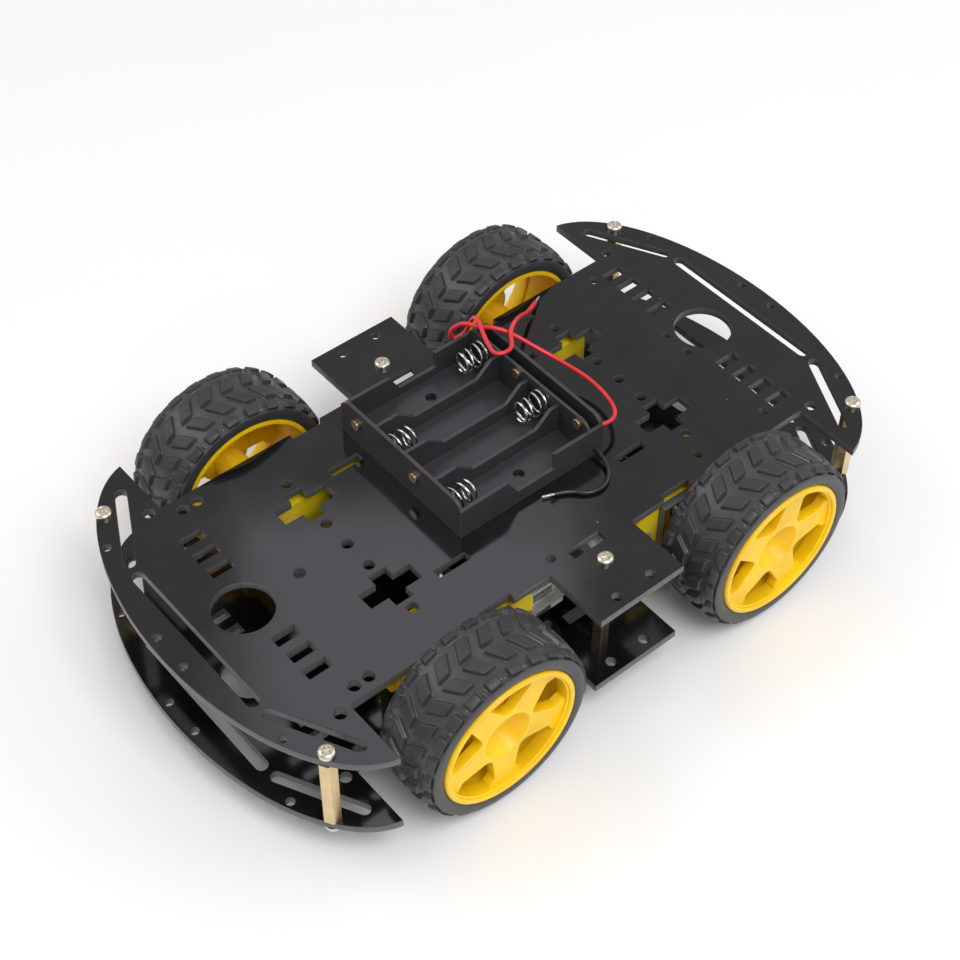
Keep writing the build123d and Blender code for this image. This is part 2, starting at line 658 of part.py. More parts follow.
def separator(y):
    """A rib between two cells, low in its middle."""
    z = DECK_TOP_Z
    shape = Polygon(
        (TRAY_X0, z), (CONTACT_X, z), (CONTACT_X, z + 12.5), (21.8, z + 12.5), (15.7, z + 7.2),
        (-11.0, z + 7.2), (-18.3, z + 12.5), (TRAY_X0, z + 12.5), align=None,
    )
    return prism_y(shape, y - 0.6, y + 0.6)


def battery_tray():
    floor = block((TRAY_X0, TRAY_X1), (TRAY_Y0, TRAY_Y1), (DECK_TOP_Z, DECK_TOP_Z + TRAY_FLOOR))
    tray = floor + end_wall(TRAY_X0, TRAY_X0 + TRAY_WALL)
    tray += end_wall(CONTACT_X - CONTACT_WALL, CONTACT_X)
    tray += end_wall(TRAY_X1 - TRAY_WALL, TRAY_X1)
    tray += side_wall(TRAY_Y0, TRAY_Y0 + TRAY_WALL)
    tray += side_wall(TRAY_Y1 - TRAY_WALL, TRAY_Y1)
    for row in range(3):
        tray += separator(TRAY_Y + CELL_PITCH * (1 - row))
    # Screw holes under the first and last cells, and a rivet hole at each end of each cell
    for y in (CELL_Y[0], CELL_Y[3]):
        tray -= rod_z(2.1, y, DECK_TOP_Z - 1, DECK_TOP_Z + 3, 2.0)
    for row in range(4):
        for at_start, x0, x1 in ((True, TRAY_X0 - 1, TRAY_X0 + 2), (False, CONTACT_X - 2, CONTACT_X + 1)):
            y, z = contact_spot(row, at_start)
            if not has_spring(row, at_start):
                tray -= rod_x(y, z, x0, x1, 1.05)
    # Outlets for the two leads, from the space behind the contacts
    x, y, z = RED_ROUTE[0]
    tray -= rod_x(y, z, x - 2, x + 1, WIRE_RADIUS + 0.15)
    x, y, z = BLACK_ROUTE[0]
    tray -= rod_y(x, z, y - 1, y + 2, WIRE_RADIUS + 0.15)
    return tray


def cell_end(row, at_start):
    """Wall face, direction into the cell, and row centre of one contact."""
    if at_start:
        return TRAY_X0 + TRAY_WALL, 1, CELL_Y[row]
    return CONTACT_X - CONTACT_WALL, -1, CELL_Y[row]


def has_spring(row, at_start):
    return at_start == (row in (1, 3))


def battery_springs():
    """Conical springs, wide at the wall, one in each cell."""
    springs = []
    for row in range(4):
        for at_start in (True, False):
            if not has_spring(row, at_start):
                continue
            x, way, y = cell_end(row, at_start)
            coil = Helix(pitch=3.0, height=9.0, radius=4.0, cone_angle=-8)
            ring = Plane(origin=coil @ 0, z_dir=coil % 0) * Circle(0.35)
            wire = sweep(ring, path=coil, is_frenet=True)
            wire = Rot(0, 90 * way, 0) * wire
            springs.append(Pos(x + way * 0.42, y, CELL_Z) * wire)
    return springs


def contact_spot(row, at_start):
    """Centre (y, z) of a rivet, which sits high and off centre on the contact wall."""
    if at_start:
        return CELL_Y[row], CELL_Z
    return CELL_Y[row] - CONTACT_OFFSET, CONTACT_HIGH_Z


def battery_contacts():
    """A domed brass rivet through the wall at each cell's end that has no spring."""
    pieces = []
    for row in range(4):
        for at_start in (True, False):
            if has_spring(row, at_start):
                continue
            x, way, _ = cell_end(row, at_start)
            y, z = contact_spot(row, at_start)
            outer = x - way * (TRAY_WALL if at_start else CONTACT_WALL)
            rivet = rod_x(y, z, *sorted((outer - way * RIVET_HEAD, x + way * RIVET_HEAD)), 1.0)
            rivet += rod_x(y, z, *sorted((outer, outer - way * RIVET_HEAD)), RIVET_RADIUS)
            rivet += rod_x(y, z, *sorted((x, x + way * RIVET_HEAD)), RIVET_RADIUS)
            pieces.append(rivet)
    return pieces


# ---------------------------------------------------------------- leads

RED_ROUTE = [
    (31.0, -17.5, 58.8), (36.0, -18.6, 58.0), (41.8, -16.0, 56.6), (45.0, -9.0, 55.4),
    (46.0, 1.5, 55.8), (43.8, 13.0, 56.9), (40.0, 25.0, 58.0), (36.0, 34.5, 57.6),
    (33.5, 42.0, 56.0), (28.5, 46.8, 53.8), (22.0, 48.8, 53.0), (17.5, 47.0, 58.0),
    (20.0, 42.5, 67.5), (24.3, 37.5, 68.8), (25.0, 31.0, 68.6), (22.2, 24.6, 68.2),
    (25.4, 21.6, 68.2), (30.5, 27.0, 68.6), (38.0, 32.6, 66.0), (46.0, 38.0, 60.5),
    (53.2, 42.7, 54.2), (59.6, 46.2, 52.7),
]
BLACK_ROUTE = [
    (27.8, -21.0, 53.4), (27.6, -25.6, 52.6), (25.4, -31.0, 51.7), (20.0, -34.4, 51.5),
    (13.8, -33.2, 51.5), (10.2, -28.4, 51.5), (5.4, -26.4, 51.5),
]
TIP_RADIUS = 0.4
TIP_LENGTH = 4.5


def lead(route):
    """A round lead: straight runs joined by the largest tangent arcs that fit."""
    points = [Vector(*point) for point in route]
    radii = []
    for before, here, after in zip(points, points[1:], points[2:]):
        turn = (here - before).get_angle(after - here)
        shorter = min((here - before).length, (after - here).length)
        radii.append(0.45 * shorter / math.tan(math.radians(turn / 2)))
    path = FilletPolyline(*points, radius=radii)
    ring = Plane(origin=path @ 0, z_dir=path % 0) * Circle(WIRE_RADIUS)
    return sweep(ring, path=path)


def lead_tip(route):
    """The bared strands that stand out of a lead's end."""
    end = Vector(*route[-1])
    way = (end - Vector(*route[-2])).normalized()
    return extrude(Plane(origin=end, z_dir=way) * Circle(TIP_RADIUS), TIP_LENGTH)


def main():
    save("top_deck", deck(TOP_DECK_Z))
    save("bottom_deck", deck(BOTTOM_DECK_Z))
    save("standoffs", [standoff(x, y) for x, y in post_places()])
    save("deck_screws", deck_screws())
    body = gearbox_body()
    outer_shell = gearbox_shell(body, True)
    inner_shell = gearbox_shell(body, False)
    pieces = {
        "output_gear": output_gear(),
        "middle_gear": middle_gear(),
        "crown_gear": crown_gear(),
        "pinion": motor_pinion(),
        "armature": motor_armature(),
        "motor_can": motor_can(),
        "gearbox_outer_shell": outer_shell,
        "gearbox_inner_shell": inner_shell,
    }
    for corner, side in CORNERS.items():
        for piece, shape in pieces.items():
            save(f"{corner}_{piece}", at_corner(shape, side))
    rubber = tyre()
    at_axle = Pos(AXLE_X, 0, AXLE_Z)
    for corner, side in CORNERS.items():
        rim = wheel_rim(SPOKE_PHASE[corner])
        save(f"{corner}_rim", at_corner(at_axle * rim, side))
        save(f"{corner}_tyre", at_corner(at_axle * rubber, side))
    groups = {
        "motor_end_caps": [motor_end_cap()],
        "motor_magnets": motor_magnets(),
        "motor_terminals": motor_terminals(),
        "motor_straps": [motor_strap()],
        "gear_arbors": arbors(),
        "gearbox_screws": gearbox_screws(),
        "motor_brackets": corner_brackets(),
        "bracket_bolts": corner_bolts(),
        "bracket_nuts": corner_nuts(),
    }
    for name, shapes in groups.items():
        save(name, [at_corner(shape, side) for side in CORNERS.values() for shape in shapes])
    save("battery_tray", battery_tray())
    save("battery_springs", battery_springs())
    save("battery_contacts", battery_contacts())
    save("red_lead", lead(RED_ROUTE))
    save("black_lead", lead(BLACK_ROUTE))
    save("lead_tips", [lead_tip(RED_ROUTE), lead_tip(BLACK_ROUTE)])


main()
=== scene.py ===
import math

import bmesh
import bpy
from mathutils import Matrix, Vector


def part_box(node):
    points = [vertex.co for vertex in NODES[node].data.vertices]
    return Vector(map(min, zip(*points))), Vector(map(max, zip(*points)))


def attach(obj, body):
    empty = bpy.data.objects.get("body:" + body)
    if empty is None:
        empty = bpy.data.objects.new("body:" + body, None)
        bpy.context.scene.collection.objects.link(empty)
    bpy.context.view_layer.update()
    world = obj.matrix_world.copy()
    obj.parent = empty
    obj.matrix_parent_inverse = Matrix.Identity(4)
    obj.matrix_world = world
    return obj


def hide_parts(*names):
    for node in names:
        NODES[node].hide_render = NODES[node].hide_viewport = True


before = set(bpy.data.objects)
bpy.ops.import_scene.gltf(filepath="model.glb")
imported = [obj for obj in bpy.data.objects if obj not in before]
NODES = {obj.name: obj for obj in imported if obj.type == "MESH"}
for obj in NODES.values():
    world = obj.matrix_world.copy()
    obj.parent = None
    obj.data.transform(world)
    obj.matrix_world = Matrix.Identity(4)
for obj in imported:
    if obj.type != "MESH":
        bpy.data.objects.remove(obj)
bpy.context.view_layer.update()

MM = 0.001
CORNERS = ("front_left", "front_right", "rear_left", "rear_right")

# ---------------------------------------------------------------- camera

CAMERA_PLACE = (-0.27738, -0.32353, 0.50703)
CAMERA_RIGHT = Vector((0.767258, -0.641315, 0.005511))
CAMERA_UP = Vector((0.471041, 0.569335, 0.673778))
LENS = 71.44
SENSOR_WIDTH = 36.0


def make_camera():
    data = bpy.data.cameras.new("camera")
    data.lens = LENS
    data.sensor_width = SENSOR_WIDTH
    data.clip_start = 0.01
    camera = bpy.data.objects.new("camera", data)
    back = CAMERA_RIGHT.cross(CAMERA_UP)
    turn = Matrix((CAMERA_RIGHT, CAMERA_UP, back)).transposed().to_4x4()
    camera.matrix_world = Matrix.Translation(CAMERA_PLACE) @ turn
    bpy.context.scene.collection.objects.link(camera)
    bpy.context.scene.camera = camera


# ------------------------------------------------------------- materials


class Tree:
    """A material's node tree, with one short call for each kind of node."""

    def __init__(self, name, colour, roughness, **sockets):
        self.material = bpy.data.materials.new(name)
        self.material.use_nodes = True
        self.nodes = self.material.node_tree.nodes
        self.links = self.material.node_tree.links
        self.shader = self.nodes["Principled BSDF"]
        self.shader.inputs["Base Color"].default_value = (*colour, 1.0)
        self.shader.inputs["Roughness"].default_value = roughness
        for socket, value in sockets.items():
            self.shader.inputs[socket.replace("_", " ")].default_value = value
        self.coords = self.node("ShaderNodeTexCoord").outputs["Object"]
        self.normal = None

    def node(self, kind, inputs=(), **settings):
        made = self.nodes.new(kind)
        for key, value in settings.items():
            setattr(made, key, value)
        for socket, value in dict(inputs).items():
            if isinstance(value, bpy.types.NodeSocket):
                self.links.new(value, made.inputs[socket])
            else:
                made.inputs[socket].default_value = value
        return made

    def stretched(self, scale):
        """The object's coordinates, scaled differently along each axis."""
        return self.node("ShaderNodeMapping", {"Vector": self.coords, "Scale": scale}).outputs[0]

    def noise(self, scale, detail=3.0, rough=0.55, coords=None):
        inputs = {"Scale": scale, "Detail": detail, "Roughness": rough}
        inputs["Vector"] = coords or self.coords
        return self.node("ShaderNodeTexNoise", inputs).outputs["Fac"]

    def ranged(self, value, low, high, to_low=0.0, to_high=1.0):
        inputs = {"Value": value, "From Min": low, "From Max": high}
        inputs.update({"To Min": to_low, "To Max": to_high})
        return self.node("ShaderNodeMapRange", inputs).outputs["Result"]

    def maths(self, operation, first, second=0.0):
        return self.node("ShaderNodeMath", {0: first, 1: second}, operation=operation).outputs[0]

    def mixed(self, factor, first, second):
        """A colour between two colours or colour sockets."""
        made = self.node("ShaderNodeMix", data_type="RGBA")
        for index, value in ((0, factor), (6, first), (7, second)):
            if isinstance(value, bpy.types.NodeSocket):
                self.links.new(value, made.inputs[index])
            elif index == 0:
                made.inputs[index].default_value = value
            else:
                made.inputs[index].default_value = (*value, 1.0)
        return made.outputs[2]

    def edges(self, radius, strength=6.0):
        """A mask that is 1 on convex and concave edges and 0 on flat faces."""
        bevel = self.node("ShaderNodeBevel", {"Radius": radius}, samples=4)
        plain = self.node("ShaderNodeNewGeometry").outputs["Normal"]
        inputs = {0: bevel.outputs[0], 1: plain}
        dot = self.node("ShaderNodeVectorMath", inputs, operation="DOT_PRODUCT")
        away = self.maths("SUBTRACT", 1.0, dot.outputs["Value"])
        scaled = self.maths("MULTIPLY", away, strength)
        return self.node("ShaderNodeClamp", {"Value": scaled}).outputs[0]

    def paint(self, colour):
        self.links.new(colour, self.shader.inputs["Base Color"])

    def gloss(self, value):
        self.links.new(value, self.shader.inputs["Roughness"])

    def bump(self, height, distance, strength=1.0):
        inputs = {"Height": height, "Distance": distance, "Strength": strength}
        if self.normal is not None:
            inputs["Normal"] = self.normal
        self.normal = self.node("ShaderNodeBump", inputs).outputs[0]
        self.links.new(self.normal, self.shader.inputs["Normal"])


def tinted(colour, factor):
    return tuple(min(1.0, channel * factor) for channel in colour)


def acrylic(name, edge_axis):
    """Glossy black sheet with a paler cut edge, faint smudges and a little dust."""
    tree = Tree(name, (0.006, 0.006, 0.0065), 0.1, Coat_Weight=0.08, Coat_Roughness=0.03)
    smudge = tree.noise(38.0, 4.0)
    fine = tree.noise(900.0, 2.0)
    smudged = tree.ranged(smudge, 0.35, 0.7)
    cloudy = tree.mixed(smudged, (0.004, 0.004, 0.0045), (0.010, 0.0095, 0.0108))
    cells = tree.node("ShaderNodeTexVoronoi", {"Vector": tree.coords, "Scale": 160.0})
    near = tree.ranged(cells.outputs["Distance"], 0.03, 0.055, 1.0, 0.0)
    sparse = tree.ranged(tree.noise(90.0, 1.0), 0.6, 0.68)
    dust = tree.maths("MULTIPLY", near, sparse)
    dusty = tree.mixed(dust, cloudy, (0.22, 0.22, 0.22))
    normal = tree.node("ShaderNodeTexCoord").outputs["Normal"]
    parts = tree.node("ShaderNodeSeparateXYZ", {"Vector": normal})
    flatness = tree.maths("ABSOLUTE", parts.outputs[edge_axis])
    cut = tree.ranged(flatness, 0.35, 0.75, 1.0, 0.0)
    lines = tree.noise(2200.0, 2.0, coords=tree.stretched((1.0, 1.0, 0.12)))
    cut_colour = tree.mixed(lines, (0.045, 0.045, 0.048), (0.13, 0.13, 0.135))
    tree.paint(tree.mixed(cut, dusty, cut_colour))
    face_gloss = tree.ranged(smudge, 0.3, 0.75, 0.07, 0.17)
    matt = tree.maths("MULTIPLY", tree.maths("MAXIMUM", cut, dust), 0.3)
    tree.gloss(tree.maths("ADD", face_gloss, matt))
    tree.bump(fine, 0.00001, 0.25)
    tree.bump(tree.maths("MULTIPLY", lines, cut), 0.00006, 0.7)
    return tree.material


def moulded(name, colour, roughness, grain=700.0, wear=None, **sockets):
    """Injection-moulded plastic: slight mottling, fine grain and rubbed edges."""
    tree = Tree(name, colour, roughness, **sockets)
    broad = tree.noise(60.0, 3.0)
    fine = tree.noise(grain, 4.0, 0.6)
    tone = tree.mixed(tree.ranged(broad, 0.3, 0.7), tinted(colour, 0.86), tinted(colour, 1.08))
    rubbed = wear or tinted(colour, 1.25)
    patchy = tree.ranged(tree.noise(240.0), 0.35, 0.65, 0.2, 0.8)
    worn = tree.maths("MULTIPLY", tree.edges(0.0005), patchy)
    tree.paint(tree.mixed(worn, tone, rubbed))
    tree.gloss(tree.ranged(fine, 0.3, 0.7, roughness * 0.85, roughness * 1.2))
    tree.bump(fine, 0.00002, 0.35)
    return tree.material


def metal(name, colour, roughness, brushed=(1.0, 1.0, 1.0), grain=900.0):
    """Plated or bare metal with brushed lines, stains and brighter edges."""
    tree = Tree(name, colour, roughness, Metallic=1.0)
    stain = tree.noise(150.0, 4.0)
    lines = tree.noise(grain, 3.0, 0.6, tree.stretched(brushed))
    tone = tree.mixed(tree.ranged(stain, 0.3, 0.7), tinted(colour, 0.86), tinted(colour, 1.04))
    worn = tree.maths("MULTIPLY", tree.edges(0.0003), 0.6)
    tree.paint(tree.mixed(worn, tone, tinted(colour, 1.2)))
    tree.gloss(tree.ranged(lines, 0.25, 0.75, roughness * 0.7, roughness * 1.35))
    tree.bump(lines, 0.00002, 0.5)
    return tree.material


def rubber(name):
    """Tyre rubber: charcoal blocks with scuffed edges, and grooves a little glossier, with a painted
    highlight that makes them paler.
    """
    tree = Tree(name, (0.05, 0.049, 0.052), 0.48)
    broad = tree.noise(70.0, 4.0)
    fine = tree.noise(1500.0, 3.0, 0.65)
    groove = tree.node("ShaderNodeAttribute", attribute_name="groove").outputs["Fac"]
    block = tree.mixed(tree.ranged(broad, 0.3, 0.7), (0.021, 0.0205, 0.0225), (0.036, 0.035, 0.038))
    # The grooves' paler colour is a painted highlight that stands in for the shine on the groove
    # floors. The same mask also makes them glossier, below.
    tone = tree.mixed(groove, block, (0.046, 0.045, 0.049))
    scuff = tree.maths("MULTIPLY", tree.edges(0.0006, 3.0), tree.ranged(tree.noise(320.0), 0.4, 0.7))
    tree.paint(tree.mixed(scuff, tone, (0.11, 0.107, 0.112)))
    shine = tree.maths("MULTIPLY", groove, 0.16)
    tree.gloss(tree.maths("SUBTRACT", tree.ranged(fine, 0.3, 0.7, 0.38, 0.55), shine))
    tree.bump(fine, 0.00005, 0.45)
    tree.bump(broad, 0.0002, 0.2)
    return tree.material


def insulation(name, colour):
    """Soft lead insulation with faint drawing lines and small scuffs."""
    tree = Tree(name, colour, 0.34, Coat_Weight=0.2, Coat_Roughness=0.25)
    broad = tree.noise(120.0, 3.0)
    fine = tree.noise(1300.0, 3.0)
    tree.paint(tree.mixed(tree.ranged(broad, 0.3, 0.7), tinted(colour, 0.8), tinted(colour, 1.12)))
    tree.gloss(tree.ranged(fine, 0.3, 0.7, 0.27, 0.45))
    tree.bump(fine, 0.00003, 0.4)
    return tree.material


def clear_plastic(name):
    """Clear, slightly milky plastic of the straps that hold the motor cans."""
    tree = Tree(name, (0.93, 0.95, 0.94), 0.12, Transmission_Weight=0.82, IOR=1.49)
    haze = tree.noise(260.0, 3.0)
    tree.paint(tree.mixed(haze, (0.86, 0.89, 0.88), (0.97, 0.98, 0.97)))
    tree.gloss(tree.ranged(haze, 0.3, 0.7, 0.07, 0.24))
    tree.bump(haze, 0.00003, 0.4)
    return tree.material


MATERIALS = {
    "deck_acrylic": acrylic("acrylic_sheet", "Z"),
    "bracket_acrylic": acrylic("acrylic_bracket", "Y"),
    "brass": metal("brass", (0.78, 0.60, 0.33), 0.3, (1.0, 1.0, 6.0)),
    "nickel_screw": metal("nickel_screw", (0.74, 0.69, 0.58), 0.28),
    "gearbox_yellow": moulded("gearbox_yellow", (0.80, 0.60, 0.012), 0.34, Subsurface_Weight=0.12,
                              Subsurface_Radius=(0.002, 0.001, 0.0002)),
    "rim_yellow": moulded("rim_yellow", (0.99, 0.60, 0.002), 0.38, wear=(1.0, 0.70, 0.01),
                          Subsurface_Weight=0.3, Subsurface_Radius=(0.004, 0.0011, 0.0001)),
    "tyre_rubber": rubber("tyre_rubber"),
    "white_nylon": moulded("white_nylon", (0.80, 0.79, 0.74), 0.42, Subsurface_Weight=0.15,
                           Subsurface_Radius=(0.001, 0.001, 0.0008)),
    "motor_steel": metal("motor_steel", (0.62, 0.61, 0.59), 0.32, (1.0, 8.0, 8.0)),
    "can_steel": metal("can_steel", (0.60, 0.61, 0.59), 0.3, (1.0, 0.08, 1.0), 2400.0),
    "cap_plastic": moulded("cap_plastic", (0.72, 0.70, 0.64), 0.45),
    "magnet": moulded("magnet", (0.05, 0.048, 0.046), 0.5, 500.0),
    "copper": metal("copper", (0.82, 0.47, 0.30), 0.3),
    "clear_strap": clear_plastic("clear_strap"),
    "tray_plastic": moulded("tray_plastic", (0.036, 0.034, 0.039), 0.36, 520.0,
                            wear=(0.11, 0.107, 0.114)),
    "spring_wire": metal("spring_wire", (0.80, 0.79, 0.76), 0.2, (1.0, 1.0, 1.0), 1500.0),
    "red_insulation": insulation("red_insulation", (0.78, 0.02, 0.03)),
    "black_insulation": insulation("black_insulation", (0.014, 0.014, 0.015)),
    "tinned_strand": metal("tinned_strand", (0.78, 0.75, 0.69), 0.3),
}

# ------------------------------------------------------- mesh in general

WELD_DISTANCE = 2e-6
PLATE_WELD_DISTANCE = 1e-6
PLATE_EDGE = 0.14 * MM
SMOOTH_ANGLE = 35.0
FLAT_FACE_ANGLE = 3.0
BEVEL_ANGLE = 40.0
MERGE_ANGLE = 0.5


def crease(mesh, smooth, flat):
    """Smooth shading up to an angle; faces square to the flat axis keep a flat shade of their own."""
    bm = bmesh.new()
    bm.from_mesh(mesh)
    for face in bm.faces:
        face.smooth = True
    for edge in bm.edges:
        capped = flat is not None and any(abs(face.normal[flat]) > 0.9995 for face in edge.link_faces)
        limit = math.radians(FLAT_FACE_ANGLE if capped else smooth)
        edge.smooth = len(edge.link_faces) == 2 and edge.calc_face_angle() < limit
    bm.to_mesh(mesh)
    bm.free()


def place(name, mesh, body, slot, material=None, smooth=SMOOTH_ANGLE, flat=None):
    """Link a finished mesh as a piece that rides on a body."""
    mesh.materials.clear()
    mesh.materials.append(MATERIALS[material or slot])
    crease(mesh, smooth, flat)
    piece = bpy.data.objects.new(name, mesh)
    bpy.context.scene.collection.objects.link(piece)
    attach(piece, body)
    return piece


def mesh_from(vertices, faces, name):
    mesh = bpy.data.meshes.new(name)
    mesh.from_pydata([tuple(v) for v in vertices], [], faces)
    bm = bmesh.new()
    bm.from_mesh(mesh)
    bmesh.ops.recalc_face_normals(bm, faces=bm.faces)
    bm.to_mesh(mesh)
    bm.free()
    return mesh


def joined(meshes, name):
    """One mesh from several."""
    bm = bmesh.new()
    for mesh in meshes:
        bm.from_mesh(mesh)
    result = bpy.data.meshes.new(name)
    bm.to_mesh(result)
    bm.free()
    return result


def lathe(profile, steps):
    """A closed (radius, height) profile turned about the Z axis."""
    vertices = []
    for step in range(steps):
        angle = math.tau * step / steps
        for radius, height in profile:
            vertices.append((radius * math.cos(angle), radius * math.sin(angle), height))
    count = len(profile)
    faces = []
    for step in range(steps):
        here, there = step * count, (step + 1) % steps * count
        for index in range(count):
            after = (index + 1) % count
            faces.append((here + index, there + index, there + after, here + after))
    return mesh_from(vertices, faces, "lathe")


def solid_lathe(profile, steps):
    """A profile that starts and ends on the Z axis, turned to a closed solid."""
    vertices = [(0.0, 0.0, profile[0][1]), (0.0, 0.0, profile[-1][1])]
    ring = profile[1:-1]
    for step in range(steps):
        angle = math.tau * step / steps
        for radius, height in ring:
            vertices.append((radius * math.cos(angle), radius * math.sin(angle), height))
    count = len(ring)
    faces = []
    for step in range(steps):
        here, there = 2 + step * count, 2 + (step + 1) % steps * count
        faces.append((0, there, here))
        for index in range(count - 1):
            faces.append((here + index, there + index, there + index + 1, here + index + 1))
        faces.append((1, here + count - 1, there + count - 1))
    return mesh_from(vertices, faces, "lathe")


def islands(mesh):
    """The mesh's separate shells, as lists of vertex indices."""
    links = [[] for _ in mesh.vertices]
    for edge in mesh.edges:
        first, second = edge.vertices
        links[first].append(second)
        links[second].append(first)
    seen = [False] * len(links)
    groups = []
    for start in range(len(links)):
        if seen[start]:
            continue
        seen[start] = True
        group, queue = [], [start]
        while queue:
            vertex = queue.pop()
            group.append(vertex)
            for other in links[vertex]:
                if not seen[other]:
                    seen[other] = True
                    queue.append(other)
        groups.append(group)
    return groups


def welded(node):
    """A CAD node's mesh with its doubled vertices merged, as a bmesh of its own."""
    bm = bmesh.new()
    bm.from_mesh(NODES[node].data)
    bmesh.ops.remove_doubles(bm, verts=bm.verts, dist=WELD_DISTANCE)
    return bm


def island_boxes(node):
    """Low and high corner of each separate solid of a CAD node."""
    bm = welded(node)
    mesh = bpy.data.meshes.new("boxes")
    bm.to_mesh(mesh)
    bm.free()
    boxes = []
    for group in islands(mesh):
        points = [mesh.vertices[index].co for index in group]
        low = Vector([min(point[axis] for point in points) for axis in range(3)])
        high = Vector([max(point[axis] for point in points) for axis in range(3)])
        boxes.append((low, high))
    bpy.data.meshes.remove(mesh)
    return boxes


def softened(node, slot, width):
    """A CAD node's own shape with small rounded edges."""
    bm = welded(node)
    limit = math.radians(MERGE_ANGLE)
    bmesh.ops.dissolve_limit(bm, angle_limit=limit, verts=bm.verts, edges=bm.edges)
    mesh = bpy.data.meshes.new(node + "_piece")
    bm.to_mesh(mesh)
    bm.free()
    piece = place(node + "_piece", mesh, "chassis", slot)
    bevel = piece.modifiers.new("bevel", "BEVEL")
    bevel.width = width
    bevel.segments = 2
    bevel.limit_method = "ANGLE"
    bevel.angle_limit = math.radians(BEVEL_ANGLE)
    bevel.use_clamp_overlap = True
    bevel.harden_normals = True
    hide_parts(node)


def face_loops(bm, axis):
    """Boundary loops of a plate's high flat face, and the plate's low and high along the axis."""
    high = max(vertex.co[axis] for vertex in bm.verts)
    low = min(vertex.co[axis] for vertex in bm.verts)
    upward = [face for face in bm.faces if face.normal[axis] > 0.99]
    top = [face for face in upward if face.calc_center_median()[axis] > high - 0.01 * MM]
    on_top = set(top)
    follow = {}
    for face in top:
        for loop in face.loops:
            others = [other for other in loop.edge.link_faces if other is not face]
            if not others or others[0] not in on_top:
                follow[loop.vert] = loop.link_loop_next.vert
    loops = []
    while follow:
        start = next(iter(follow))
        loop, here = [], start
        while here in follow:
            loop.append(here.co.copy())
            here = follow.pop(here)
        loops.append(loop)
    return loops, low, high


def plate_mesh(loops, axis, low, high, bevel):
    """A flat plate from its outline and holes, with rounded edges."""
    curve = bpy.data.curves.new("plate", "CURVE")
    curve.dimensions = "2D"
    curve.fill_mode = "BOTH"
    curve.extrude = (high - low) / 2 - bevel
    curve.bevel_depth = bevel
    curve.bevel_resolution = 1
    curve.offset = -bevel
    across = [index for index in range(3) if index != axis]
    for loop in loops:
        spline = curve.splines.new("POLY")
        spline.points.add(len(loop) - 1)
        for point, corner in zip(spline.points, loop):
            point.co = (corner[across[0]], corner[across[1]], 0.0, 1.0)
        spline.use_cyclic_u = True
    maker = bpy.data.objects.new("plate", curve)
    mesh = bpy.data.meshes.new_from_object(maker)
    bpy.data.objects.remove(maker)
    middle = (low + high) / 2
    for vertex in mesh.vertices:
        u, v, depth = vertex.co
        spot = [0.0, 0.0, 0.0]
        spot[across[0]], spot[across[1]], spot[axis] = u, v, middle + depth
        vertex.co = spot
    bm = bmesh.new()
    bm.from_mesh(mesh)
    bmesh.ops.remove_doubles(bm, verts=bm.verts, dist=PLATE_WELD_DISTANCE)
    bmesh.ops.recalc_face_normals(bm, faces=bm.faces)
    bm.to_mesh(mesh)
    bm.free()
    return mesh


def plates(node, axis, bevel, slot, material=None):
    """Every plate of a CAD node, remade with rounded edges."""
    whole = welded(node)
    mesh = bpy.data.meshes.new("whole")
    whole.to_mesh(mesh)
    made = []
    for group in islands(mesh):
        keep = set(group)
        part = whole.copy()
        part.verts.ensure_lookup_table()
        spare = [vertex for vertex in part.verts if vertex.index not in keep]
        bmesh.ops.delete(part, geom=spare, context="VERTS")
        loops, low, high = face_loops(part, axis)
        made.append(plate_mesh(loops, axis, low, high, bevel))
        part.free()
    whole.free()
    name = node + "_piece"
    piece = place(name, joined(made, name), "chassis", slot, material, flat=axis)
    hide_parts(node)


# ------------------------------------------------------------------ leads

# The leads' routes in millimetres. The black one has the CAD's points. The red one's are moved by
# up to about 10 mm, most of all in its loop at the tray's far corner.
RED_ROUTE = [
    (31.0, -17.5, 58.8), (36.0, -18.6, 58.0), (41.8, -16.0, 56.6), (45.4, -9.0, 55.4),
    (46.6, 1.5, 55.8), (43.6, 12.5, 57.6), (38.8, 21.6, 61.0), (34.2, 27.8, 65.2),
    (30.0, 32.2, 67.7), (26.4, 36.8, 66.8), (23.6, 41.4, 67.3), (20.8, 44.4, 64.0),
    (20.4, 44.8, 60.8), (21.6, 45.2, 57.4), (26.2, 45.0, 57.4), (28.0, 43.9, 60.8),
    (28.0, 43.0, 64.6), (27.9, 39.8, 68.8), (25.0, 33.4, 68.4), (22.4, 27.4, 68.3),
    (20.8, 21.6, 68.1), (27.4, 20.0, 68.1), (31.6, 26.8, 68.5), (38.0, 31.8, 66.2),
    (46.0, 37.2, 60.5), (53.2, 41.9, 54.2), (59.6, 45.4, 52.7),
]
BLACK_ROUTE = [
    (27.8, -21.0, 53.4), (27.6, -25.6, 52.6), (25.4, -31.0, 51.7), (20.0, -34.4, 51.5),
    (13.8, -33.2, 51.5), (10.2, -28.4, 51.5), (5.4, -26.4, 51.5),
]
LEAD_DIAMETER = 1.5 * MM
TIP_LENGTH = 4.5 * MM
STRAND_RADIUS = 0.13 * MM
STRAND_COUNT = 6
STRAND_LAY = 0.25 * MM
STRAND_TURNS = 0.45
STRAND_STEPS = 14


